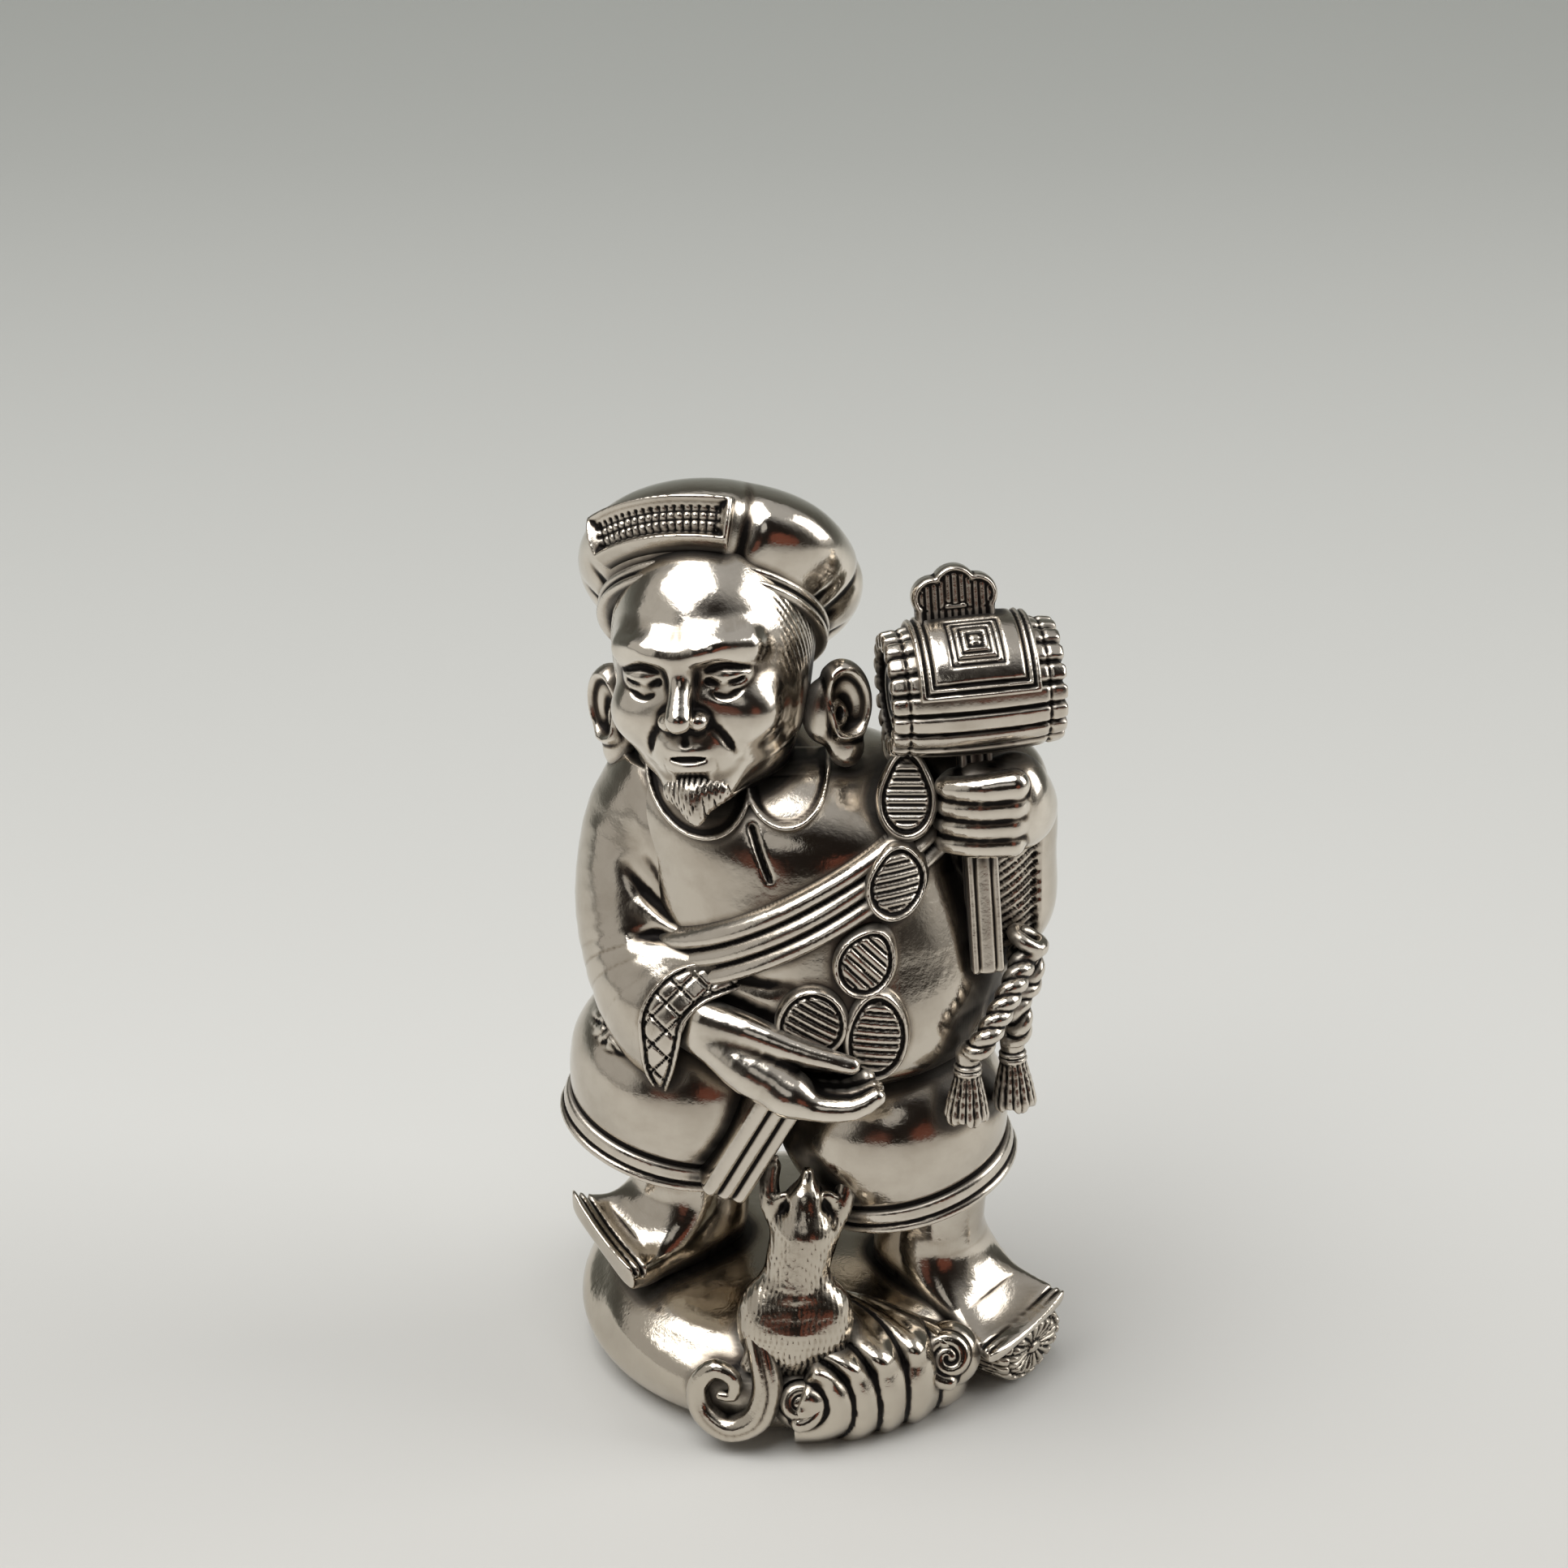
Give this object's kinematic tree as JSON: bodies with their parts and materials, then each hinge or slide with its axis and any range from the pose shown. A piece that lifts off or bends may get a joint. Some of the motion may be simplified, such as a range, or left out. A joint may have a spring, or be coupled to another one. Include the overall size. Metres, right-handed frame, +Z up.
{
  "type": "okimono carving",
  "caption": "Small cast silver figure of a stout, laughing luck god with a soft cap and a mallet, standing on a treasure sack and a rice bale with a rat at his feet.",
  "frame": {"origin": "on the resting plane, under the middle of the figure's bounding box", "axes": "+Z up, the figure faces -Y, its left hand with the mallet is at +X"},
  "size_m": [0.041, 0.0354, 0.0754],
  "materials": {
    "silver_cloth": "polished cast silver, darkened in the folds",
    "silver_skin": "polished cast silver, darkened in the creases",
    "silver_base": "polished cast silver, worn bright on the high spots",
    "silver_relief": "cast silver, oxidised nearly black between the ribs"
  },
  "bodies": {
    "root": {"base_plate": "silver_base", "beard": "silver_skin", "coin_1": "silver_relief", "coin_2": "silver_relief", "coin_3": "silver_relief", "coin_4": "silver_relief", "coin_5": "silver_relief", "collar": "silver_cloth", "cord": "silver_relief", "hat_band": "silver_cloth", "hat_crown": "silver_cloth", "hat_plaque": "silver_relief", "head": "silver_skin", "left_boot": "silver_cloth", "left_ear": "silver_skin", "left_hand": "silver_skin", "left_hem_band": "silver_cloth", "left_sleeve": "silver_cloth", "left_trouser": "silver_cloth", "mallet_barrel": "silver_cloth", "mallet_crest": "silver_relief", "mallet_handle": "silver_cloth", "mallet_saddle": "silver_relief", "rat": "silver_base", "rat_tail": "silver_base", "rice_bale": "silver_base", "right_boot": "silver_cloth", "right_cuff": "silver_relief", "right_ear": "silver_skin", "right_hand": "silver_skin", "right_hem_band": "silver_cloth", "right_sleeve": "silver_cloth", "right_trouser": "silver_cloth", "robe_body": "silver_cloth", "sack_mouth": "silver_base", "sack_scroll_left": "silver_base", "sack_scroll_right": "silver_base", "sash": "silver_cloth", "sash_end": "silver_cloth", "tassel_left": "silver_relief", "tassel_right": "silver_relief", "treasure_sack": "silver_base"}
  },
  "joints": []
}
